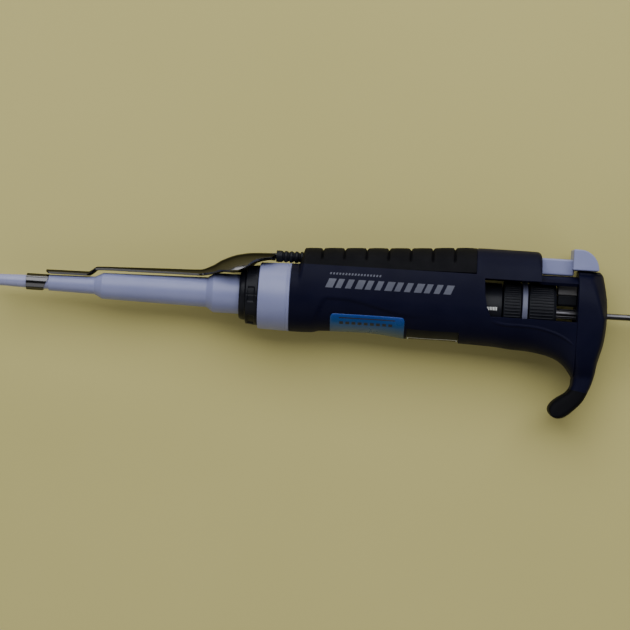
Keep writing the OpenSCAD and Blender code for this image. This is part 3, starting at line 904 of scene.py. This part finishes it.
FRAME_S = (145.9, 162.9)
lens_print("lens_frame", pale_lens_band, (
    ((3.2, 3.55), FRAME_S, 3, 20), ((-3.55, -3.2), FRAME_S, 3, 20),
    ((-3.2, 3.2), (145.9, 146.2), 12, 3), ((-3.2, 3.2), (162.6, 162.9), 12, 3)))
lens_print("lens_border", soft_black,
           [(z, (145.5, 163.3), 12, 20) for z in ((3.55, 8.1), (-8.1, -3.55))])
print("lens between stations", LENS_S)

# %% [markdown]
# ## What repeats round or along the axis
# Knurls, splines and spring coils are left to Geometry Nodes. One tree sets a given number of round ridges
# on a circle; the other sweeps a wire along a spiral. Both end in plain geometry with its material, and a
# helper turns the result into an ordinary mesh.

# %% Two node trees
def new_tree(name, inputs):
    tree = bpy.data.node_groups.new(name, "GeometryNodeTree")
    tree.interface.new_socket("Geometry", in_out="OUTPUT", socket_type="NodeSocketGeometry")
    for label, kind, value in inputs:
        socket = tree.interface.new_socket(label, in_out="INPUT", socket_type="NodeSocket" + kind)
        if value is not None:
            socket.default_value = value
    return tree, tree.nodes.new("NodeGroupInput"), tree.nodes.new("NodeGroupOutput")


def place_and_paint(tree, given, output, source, out="Mesh"):
    """Turn the tree's geometry from Z onto the pipette's axis, move it to its start, realize and paint it."""
    move = add(tree, "GeometryNodeTransform", Rotation=(0, math.pi / 2, 0))
    real = tree.nodes.new("GeometryNodeRealizeInstances")
    paint = tree.nodes.new("GeometryNodeSetMaterial")
    link(tree, (source, out, move, "Geometry"), (given, "Start", move, "Translation"),
         (move, "Geometry", real, "Geometry"), (real, "Geometry", paint, "Geometry"),
         (given, "Material", paint, "Material"), (paint, "Geometry", output, "Geometry"))


PLACE = [("Length", "Float", 0.01), ("Start", "Vector", None), ("Material", "Material", None)]


def ridge_tree():
    tree, given, output = new_tree("ridges_round_an_axis", [
        ("Count", "Int", 60), ("Radius", "Float", 0.01), ("Ridge Radius", "Float", 0.0003)] + PLACE)
    circle = tree.nodes.new("GeometryNodeMeshCircle")
    ridge = add(tree, "GeometryNodeMeshCylinder", Vertices=10)
    halve = tree.nodes.new("ShaderNodeMath")
    halve.operation = "MULTIPLY"
    halve.inputs[1].default_value = 0.5
    along_z = tree.nodes.new("ShaderNodeCombineXYZ")
    shift = tree.nodes.new("GeometryNodeTransform")
    copies = tree.nodes.new("GeometryNodeInstanceOnPoints")
    link(tree, (given, "Count", circle, "Vertices"), (given, "Radius", circle, "Radius"),
         (given, "Ridge Radius", ridge, "Radius"), (given, "Length", ridge, "Depth"),
         (given, "Length", halve, 0), (halve, 0, along_z, "Z"), (ridge, "Mesh", shift, "Geometry"),
         (along_z, "Vector", shift, "Translation"), (circle, "Mesh", copies, "Points"),
         (shift, "Geometry", copies, "Instance"))
    place_and_paint(tree, given, output, copies, "Instances")
    return tree


def coil_tree():
    tree, given, output = new_tree("wire_on_a_spiral", [
        ("Turns", "Float", 10.0), ("Radius", "Float", 0.003), ("Wire", "Float", 0.0003)] + PLACE)
    spiral = add(tree, "GeometryNodeCurveSpiral", Resolution=36)
    profile = add(tree, "GeometryNodeCurvePrimitiveCircle", Resolution=10)
    sweep = add(tree, "GeometryNodeCurveToMesh", Fill_Caps=True)
    link(tree, (given, "Turns", spiral, "Rotations"), (given, "Radius", spiral, "Start Radius"),
         (given, "Radius", spiral, "End Radius"), (given, "Length", spiral, "Height"),
         (given, "Wire", profile, "Radius"), (spiral, "Curve", sweep, "Curve"),
         (profile, "Curve", sweep, "Profile Curve"))
    place_and_paint(tree, given, output, sweep)
    return tree


def from_tree(name, tree, values, material, body, replaced=(), smooth=40):
    """Run a tree with the given inputs and keep its result as a plain piece."""
    holder = bpy.data.objects.new(name + "_source", bpy.data.meshes.new(name + "_source"))
    bpy.context.scene.collection.objects.link(holder)
    modifier = holder.modifiers.new("tree", "NODES")
    modifier.node_group = tree
    key = {item.name: item.identifier for item in tree.interface.items_tree if item.in_out == "INPUT"}
    for label, value in {**values, "Material": material}.items():
        modifier[key[label]] = value
    mesh = bpy.data.meshes.new_from_object(holder.evaluated_get(bpy.context.evaluated_depsgraph_get()))
    holder.modifiers.clear()
    bpy.data.objects.remove(holder)
    piece = bpy.data.objects.new(name, mesh)
    bpy.context.scene.collection.objects.link(piece)
    mesh.shade_smooth()
    mesh.set_sharp_from_angle(angle=math.radians(smooth))
    adopt(piece, body, replaced)
    return piece


RIDGES = ridge_tree()
COIL = coil_tree()


def ridges(name, count, r, ridge_r, s_range, material, body):
    return from_tree(name, RIDGES, {"Count": count, "Radius": r * MM, "Ridge Radius": ridge_r * MM,
                                    "Length": (s_range[1] - s_range[0]) * MM,
                                    "Start": tuple(to_frame([s_range[0], 0, 0]))}, material, body, ())


print("node trees:", [t.name for t in (RIDGES, COIL)])

# %% [markdown]
# The springs must shorten when the plunger, the blow-out ring or the ejector moves. Each row gives the
# spring's piece, coil radius, wire, turns, the joint that presses it, its travel and the height of its axis;
# the coils are built at full length on the handle, and the travel only sets the printed share each keeps.

# %% Springs
for node, r, wire, turns, joint, travel, y in (
        ("main_spring", 3.05, 0.3, 11, "plunger_slide", 9.2, 0.0),
        ("blowout_spring", 5.15, 0.45, 5, "blowout_slide", 2.6, 0.0),
        ("ejector_spring", 2.05, 0.3, 13, "ejector_slide", 9.8, EJECTOR_Y)):
    lo, hi = span(node)
    spring = from_tree(node, COIL, {"Turns": float(turns), "Radius": r * MM, "Wire": wire * MM,
                                    "Length": (hi - lo - 2 * wire) * MM,
                                    "Start": tuple(to_frame([lo + wire, y, 0]))}, steel, "handle", node,
                       60)
    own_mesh(spring)
    print(node, "keeps", round(1 - travel / (hi - lo), 3), "of its length")

# %% [markdown]
# ## Inside the wheel window
# The index ring is part of the housing and carries four short rows of white ticks. The lock ring and the
# thumbwheel turn beside it: each is a turned core whose rim is covered with fine ridges.

# %% Index ring, lock ring, washer and thumbwheel
turned("index_ring", [(171.3, 4.4), (171.3, 9.2), (177.4, 9.2), (177.4, 6.1), (184.3, 6.1), (184.3, 4.4)],
       soft_black, "handle", radius=0.3)


def on_cylinder(r, s_range, degrees, steps=6):
    """A strip on a cylinder between two stations and two angles from the back."""
    return [p for s in s_range for p in hoop(s, r, np.radians(np.linspace(*degrees, steps)))]


TICK_WIDTH, TICK_PITCH, TICK_SPREAD = 0.26, 0.52, 3.4
ticks = []
for quarter_turn in range(4):
    middle = 88 + 90 * quarter_turn
    for i in range(7):
        s = 172.3 + TICK_PITCH * i
        strip = on_cylinder(9.23, (s, s + TICK_WIDTH), (middle - TICK_SPREAD, middle + TICK_SPREAD), 4)
        ticks.append(skin("tick", strip, 2, 4, chalk))
join(ticks, "index_marks")
turned("lock_ring", [(177.8, 6.2), (177.8, 9.6), (178.1, 9.85), (183.7, 9.85), (184.0, 9.6), (184.0, 6.2)],
       soft_black, "lock_ring", radius=0.25, around=128)
ridges("lock_ring_knurls", 60, 9.78, 0.34, (178.25, 183.55), soft_black, "lock_ring")
# The washer is lavender plastic; its darker finish is painted shade from the pocket.
turned("wheel_washer", [(184.3, 4.4), (184.3, 10.3), (186.1, 10.3), (186.1, 4.4)], lavender_in_painted_shade, "handle",
       radius=0.25, around=128)
turned("thumbwheel", [(186.5, 4.3), (186.5, 9.8), (186.9, 10.05), (194.9, 10.05), (195.9, 9.3), (195.9, 2.0),
                      (188.5, 2.0), (188.5, 4.3)], soft_black, "volume_drive", radius=0.5, around=128)
ridges("thumbwheel_knurls", 60, 9.98, 0.32, (187.0, 194.8), soft_black, "volume_drive")
print("ridges on the wheel:", 60)

# %% [markdown]
# Behind the wheel the splined spindle is seen against the light, with the click pawl's dark block and the
# pale block that guides the ejector's stem above it; that block's grey is darkened as painted shade.

# %% Spindle, click pawl and guide block
# The spindle's steel is darkened: painted dark reflections.
turned("spindle_core", [(127.5, 1.2), (127.5, 2.9), (152.0, 2.9), (152.0, 1.62), (203.2, 1.62),
                        (203.2, 1.2)], ground_steel_painted_dark, "spindle", "spindle", radius=0.15)
ridges("spindle_splines", 10, 1.6, 0.2, (152.0, 203.2), ground_steel_painted_dark, "spindle")
thread_rows = [(127.6 + 1.2 * i + d, r) for i in range(20)
               for d, r in ((0.0, 2.9), (0.3, 3.2), (0.5, 3.2), (0.8, 2.9))]
turned("spindle_thread", [(127.6, 2.7)] + thread_rows + [(thread_rows[-1][0], 2.7)], ground_steel_painted_dark, "spindle",
       (), radius=0.03, smooth=30)
slab("click_pawl", [(196.4, 3.0), (203.0, 3.0), (203.0, 6.3), (196.4, 6.3)], -4, 4, soft_black, "handle",
     edge=0.3)
for z in (-3, -1, 1, 3):
    slab("pawl_rib", [(196.8, 2.62), (203.0, 2.62), (203.0, 3.1), (196.8, 3.1)], z - 0.4, z + 0.4, soft_black,
         "handle", (), edge=0.12)
# Pale grey plastic, darkened as painted shade.
slab("rod_guide_block", [(196.4, 6.4), (203.0, 6.4), (203.0, 9.7), (196.4, 9.7)], -4, 4, grey_in_painted_shade,
     "handle", edge=0.35)
print("spindle splines:", 10)

# %% [markdown]
# ## Cap and finger hook
# The cap and the hook are one sweep between two rails: the inner rail runs down the joint with the handle
# and then round the inside of the hook, the outer rail is the outline from the ejector's side down to the
# hook's end. At each step a softened six-cornered section is stretched between the rails. A crease parts
# the flank from the crown.

# %% Cap and hook loft
RAILS = [  # inner station, inner y, outer station, outer y
    (203.05, 14.95, 210.7, 14.9), (203.05, 13.9, 211.75, 13.6), (203.05, 12.2, 212.1, 12.0),
    (203.05, 9.0, 212.7, 9.0), (203.05, 5.0, 213.35, 5.0), (203.05, 1.0, 213.6, 1.0),
    (203.05, -3.0, 213.55, -3.0), (203.05, -7.0, 213.25, -7.0), (203.05, -10.5, 212.75, -10.5),
    (203.05, -14.0, 211.8, -14.0), (203.05, -17.5, 210.95, -17.2), (203.05, -20.5, 210.45, -20.4),
    (203.0, -22.8, 209.85, -22.9), (202.8, -24.6, 209.1, -25.0), (201.9, -26.4, 207.8, -28.0),
    (200.7, -27.5, 206.5, -30.2), (199.0, -28.6, 204.7, -32.2), (197.4, -29.8, 202.7, -34.1),
    (196.2, -31.1, 200.9, -35.4), (195.6, -32.5, 199.4, -35.85), (195.75, -33.7, 198.2, -35.85),
    (196.3, -34.7, 197.2, -35.5)]
SPLIT = 13.55           # place along the rails where the rubber end begins


def rail_at(u):
    """Smooth reading of the rails at a place between 0 and the last row."""
    table = np.array(RAILS)
    i = int(min(max(math.floor(u), 0), len(table) - 2))
    t = u - i
    p = [table[min(max(i + d, 0), len(table) - 1)] for d in (-1, 0, 1, 2)]
    return 0.5 * (2 * p[1] + (p[2] - p[0]) * t + (2 * p[0] - 5 * p[1] + 4 * p[2] - p[3]) * t * t
                  + (3 * p[1] - p[0] - 3 * p[2] + p[3]) * t ** 3)


def cap_depth(y):
    """Half depth of the cap where the section stands at a height y."""
    t = turn_at_y(203.0, min(y, 14.79), back=14.8)
    deep = abs(egg(203.0, t, back=14.8)[1])
    if y < 0:
        return (deep ** 8 + 6.9 ** 8) ** 0.125
    return max(deep, 6.4 - 2.2 * float(blend_in(y, 14.2, 14.8)))


def softened(corners, radii, steps=5):
    """Each corner turned into an arc with a fixed number of points."""
    out = []
    n = len(corners)
    for i in range(n):
        p, a, b = (np.array(corners[j % n], float) for j in (i, i - 1, i + 1))
        da, db = a - p, b - p
        la, lb = np.linalg.norm(da), np.linalg.norm(db)
        cut = min(radii[i], 0.45 * la, 0.45 * lb)
        for k in range(steps + 1):
            t = k / steps
            out.append(p + (1 - t) ** 2 * cut * da / la + t ** 2 * cut * db / lb)
    return out


def hook_section(u, shrink=0.0):
    """One closed ring of (station, y, z) points; shrink draws it in for the rounded end."""
    s0, y0, s1, y1 = rail_at(u)
    mid_y = (y0 + y1) / 2
    deep = cap_depth(mid_y)
    inner, outer = np.array([s0, y0, 0.0]), np.array([s1, y1, 0.0])
    middle = (inner + outer) / 2
    hooked = float(blend_in(-mid_y, 12, 21))
    crease_s = min(207.7 + (12.3 - mid_y) * 0.316, s1 - 1.6)
    share = (crease_s - s0) / (s1 - s0) * (1 - hooked) + 0.86 * hooked
    low = 0.50 * (1 - hooked) + 0.70 * hooked
    keep = 1 - shrink
    inner, outer = middle + (inner - middle) * keep, middle + (outer - middle) * keep
    deep *= 1 - 0.35 * shrink
    crease = inner + (outer - inner) * share
    up_z = np.array([0, 0, 1.0])
    corners = [inner + up_z * deep, crease + up_z * deep * 0.985, outer + up_z * deep * low,
               outer - up_z * deep * low, crease - up_z * deep * 0.985, inner - up_z * deep]
    edge = 0.35 + 2.3 * hooked
    crown = 3.2 * (1 - hooked) + 2.6 * hooked
    radii = [edge, 1.4 + hooked, crown, crown, 1.4 + hooked, edge]
    return softened(corners, radii)


cap_steps = (list(np.linspace(0, 2, 10)) + list(np.linspace(2, 11, 46)[1:])
             + list(np.linspace(11, SPLIT, 12)[1:]))
cap = loft("top_cap", [hook_section(u) for u in cap_steps], night_blue, "handle", "top_cap",
           smooth=32)
last = len(RAILS) - 1
pad_end = [(SPLIT + 0.012 + (last - SPLIT - 0.012) * k / 40, 0.0) for k in range(41)]
pad_end += [(last + 0.16 * k, 1 - math.sqrt(1 - (k / 6) ** 2) * 0.999) for k in range(1, 6)]
loft("hook_pad", [hook_section(min(u, last), d * 0.9) for u, d in pad_end], rubber, "handle", "hook_pad",
     smooth=50)
print("cap and hook rings:", len(cap_steps) + len(pad_end))

# %% [markdown]
# Two screws hold the cap. Their pockets and the hole for the rod's bushing are cut out of the finished
# loft.

# %% Pockets, screws and bushing
def cut(piece, cutters):
    """Take the cutters' volume out of a piece and keep a plain mesh."""
    whole = join(cutters, "cutter")
    modifier = piece.modifiers.new("cut", "BOOLEAN")
    modifier.object = whole
    modifier.operation = "DIFFERENCE"
    modifier.solver = "EXACT"
    mesh = bpy.data.meshes.new_from_object(piece.evaluated_get(bpy.context.evaluated_depsgraph_get()))
    piece.modifiers.clear()
    piece.data = mesh
    mesh.shade_smooth()
    mesh.set_sharp_from_angle(angle=math.radians(32))
    bpy.data.objects.remove(whole)


def cutter(s_range, r, y=0.0, z=0.0):
    """A plain closed cylinder."""
    rows = [p for s in s_range for p in hoop(s, r, round_angles(40), y, z)]
    faces = ring_faces(2, 40) + [tuple(range(40)), tuple(range(40, 80))]
    return new_piece("cutter", rows, faces, soft_black, "handle")


SCREW_Y, SCREW_Z = -12.3, 3.6
cut(cap, [cutter((202, 211.2), 2.35), cutter((210.5, 216), 2.6), cutter((209.6, 216), 1.75, SCREW_Y, SCREW_Z),
          cutter((209.6, 216), 1.75, SCREW_Y, -SCREW_Z)])
for z in (SCREW_Z, -SCREW_Z):
    head = [(204.0, 0.0), (204.0, 0.75), (209.7, 0.75), (209.7, 1.6), (211.0, 1.6), (211.0, 0.9),
            (210.5, 0.9), (210.5, 0.0)]
    turned("cap_screws" if z > 0 else "second_screw", head, steel, "handle", "cap_screws" if z > 0 else (),
           radius=0.12, around=48, y=SCREW_Y, z=z)
turned("rod_bushing", [(211.05, 1.12), (211.05, 2.55), (213.6, 2.55), (213.6, 1.12)], soft_black, "handle",
       radius=0.2)
print("cap faces after cutting:", len(cap.data.polygons))

# %% [markdown]
# ## Ejector
# The ejector's button is a stem that comes out of the handle's back and a thumb pad shaped like a quarter
# round. Below, a rod runs down inside the handle to a ribbed adjusting bolt, which carries the polished bent
# arm and its collar; their steel is darkened as painted dark reflection.

# %% Ejector button, rod and bolt
slab("ejector_button", [(185.0, 13.05), (201.5, 13.05), (201.5, 18.7), (185.0, 18.7)], -3.5, 3.5, lavender,
     "ejector", "ejector_button", edge=0.7)
quarter = [(203 + 6.75 * math.cos(a), 15.1 + 7.1 * math.sin(a)) for a in np.radians(np.linspace(4, 90, 28))]
slab("thumb_pad", [(200.8, 15.1), (209.8, 15.1)] + quarter + [(200.8, 22.2)], -7.5, 7.5, lavender,
     "ejector", (), edge=0.75)
turned("ejector_rod", [(103, 0.0), (103, 1.3), (173, 1.3), (173, 2.4), (174.5, 2.4), (174.5, 1.3), (186, 1.3),
                       (186, 0.0)], steel, "ejector", radius=0.15, y=EJECTOR_Y, around=48)
ribs = [corner for i in range(4) for corner in ((101.7 + 1.85 * i, 1.5), (102.2 + 1.85 * i, 2.0),
                                                (102.8 + 1.85 * i, 2.0))]
turned("adjusting_bolt", [(99.2, 1.1), (99.2, 2.0), (101.2, 2.0)] + ribs
       + [(108.6, 1.6), (108.6, 1.3), (102.9, 1.3), (102.9, 1.1)],
       soft_black, "adjusting_bolt", radius=0.14, y=EJECTOR_Y, around=64, smooth=50)
turned("arm_stud", [(99, 0.0), (99, 1.05), (102.8, 1.05), (102.8, 0.0)], steel, "ejector_arm", radius=0.2,
       y=EJECTOR_Y, around=40)
print("bolt ribs:", 4)

# %% [markdown]
# The arm is pressed from sheet metal. Two tables say how far its outer face stands from the axis and how
# wide it is at each station; across its width it keeps the curve of a tube round the axis.

# %% Ejector arm and collar
ARM_OUT = np.array([(20, 3.75), (27, 3.82), (34.6, 3.9), (36.2, 4.7), (37.7, 5.75), (46, 6.05), (60, 6.5),
                    (73.2, 6.9), (77.3, 8.4), (81.3, 10.9), (86.7, 13.0), (91.8, 13.8), (98.7, 14.1)])
ARM_HALF = np.array([(20, 2.2), (36, 2.3), (55, 3.25), (74, 4.2), (77, 5.4), (80.5, 7.5), (84.5, 9.8),
                     (87.5, 10.6), (89, 10.4), (92.8, 7.7), (95, 6.9), (98.7, 6.0)])
ARM_WALL = 0.8
arm_points = []
arm_stations = spread(20, (33.5, 14), (38.5, 16), (73, 40), (98.7, 60))
for s in arm_stations:
    reach, wide = steady(ARM_OUT, s), steady(ARM_HALF, s)
    end = min(s - 20, 98.7 - s, 1.2)
    wide -= 1.2 - math.sqrt(max(0.0, 1.2 ** 2 - (1.2 - end) ** 2))
    limit = math.asin(min(0.97, wide / reach))
    arm_points += [(s, reach * math.cos(a), reach * math.sin(a)) for a in np.linspace(-limit, limit, 33)]
# The arm's polished steel is darkened: painted dark reflections.
arm = skin("ejector_arm", arm_points, len(arm_stations), 33, steel_painted_dark, "ejector_arm",
           body="ejector_arm")
thicken(arm, ARM_WALL, 0.18, 2, 50)
slab("arm_lug", [(97.6, 12.3), (99.0, 12.3), (99.0, 14.9), (97.6, 14.9)], -1.6, 1.6, steel_painted_dark, "ejector_arm",
     (), edge=0.15)


def collar_row(s, r, cut_back=False):
    """One ring of the collar; its upper end is cut at a slant that rises towards the back."""
    row = []
    for a in round_angles(96):
        y, z = r * math.cos(a), r * math.sin(a)
        row.append((min(21.0, 18.4 + (y + 4) * 0.466) if cut_back else s, y, z))
    return row


collar_rows = [collar_row(13.3, 2.5), collar_row(13.3, 2.78), collar_row(13.37, 2.85), collar_row(17.0, 2.85),
               collar_row(0, 2.85, True), collar_row(0, 2.5, True)]
# The collar shares that darkened steel: painted dark reflections.
new_piece("ejector_collar", [p for row in collar_rows for p in row], ring_faces(len(collar_rows), 96, True),
          steel_painted_dark, "ejector_arm", "ejector_collar", smooth=30)
print("arm from station", arm_stations[0], "to", arm_stations[-1])

# %% [markdown]
# ## Plunger
# The plunger's rod comes out of the cap and ends in a flared push button with a pale disc set into its top.

# %% Rod and push button
# The rod's steel is darkened: painted dark reflections.
turned("plunger_rod", [(84.5, 0.0), (84.5, 1.05), (234.6, 1.05), (234.6, 0.0)], ground_steel_painted_dark, "plunger",
       radius=0.1, around=48)
turned("push_button", [(230.6, 1.1), (230.6, 3.4), (231.2, 3.9), (241.6, 4.3), (246.0, 6.6), (247.6, 6.8),
                       (247.6, 5.6), (246.8, 5.6), (246.8, 0.0), (234.6, 0.0), (234.6, 1.1)], night_blue,
       "plunger", radius=0.6, around=128)
turned("button_cap", [(246.85, 0.0), (246.85, 5.55), (248.6, 5.55), (249.65, 4.6), (250.0, 0.0)], lavender,
       "plunger", radius=0.5, around=128)
print("plunger length in mm:", round(span("plunger_rod")[1] - span("plunger_rod")[0], 1))

# %% [markdown]
# A fold runs along the handle below the wheel window and catches the light. It is a fine ridge that follows
# the handle's own surface.

# %% Fold below the window
FOLD = np.array([(173.5, -3.9), (177, -4.75), (184, -5.0), (190, -5.4), (194, -6.3), (197.5, -7.5),
                 (201.1, -9.6), (202.9, -11.2)])
FOLD_S = (173.5, 202.9)
FOLD_ROWS = 50
for side_of in (1, -1):
    points = []
    for s in np.linspace(*FOLD_S, FOLD_ROWS):
        fade = (math.sin(math.pi * min(1.0, (s - FOLD_S[0]) / 5) / 2)
                * math.sin(math.pi * min(1.0, (FOLD_S[1] - s) / 3) / 2))
        for k in range(9):
            across = (k - 4) / 4
            t = side_of * turn_at_y(s, along(FOLD, s) + 0.75 * across)
            points.append((s, *egg(s, t, inset=-(0.30 * (1 - across ** 2) ** 2 * fade - 0.03))))
    skin("window_fold" if side_of > 0 else "window_fold_far", points, FOLD_ROWS, 9, night_blue, ())
print("fold rows:", FOLD_ROWS)

# %% [markdown]
# ## What stays as measured
# The parts inside the bores are simple turned or sawn shapes that are already exact in the measured model,
# so they are kept and only given their finishes.

# %% Finishes for the kept pieces
KEPT = {
    chalk: ["piston_seal", "thrust_washer", "units_drum", "tens_drum", "hundreds_drum", "units_pinion",
            "tens_pinion"],
    rubber: ["seal_o_ring"],
    brass: ["seal_retainer", "spring_seat", "sleeve_bearing", "lead_nut", "stop_collar", "blowout_ring"],
    soft_black: ["counter_frame", "counter_mask", "counter_end_plate", "drive_sleeve", "piston_head"],
    steel: ["pinion_axle", "piston"],
}
for material, names in KEPT.items():
    for name in names:
        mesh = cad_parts[name].data
        mesh.materials.clear()
        mesh.materials.append(material)
print("kept pieces:", sum(len(names) for names in KEPT.values()))
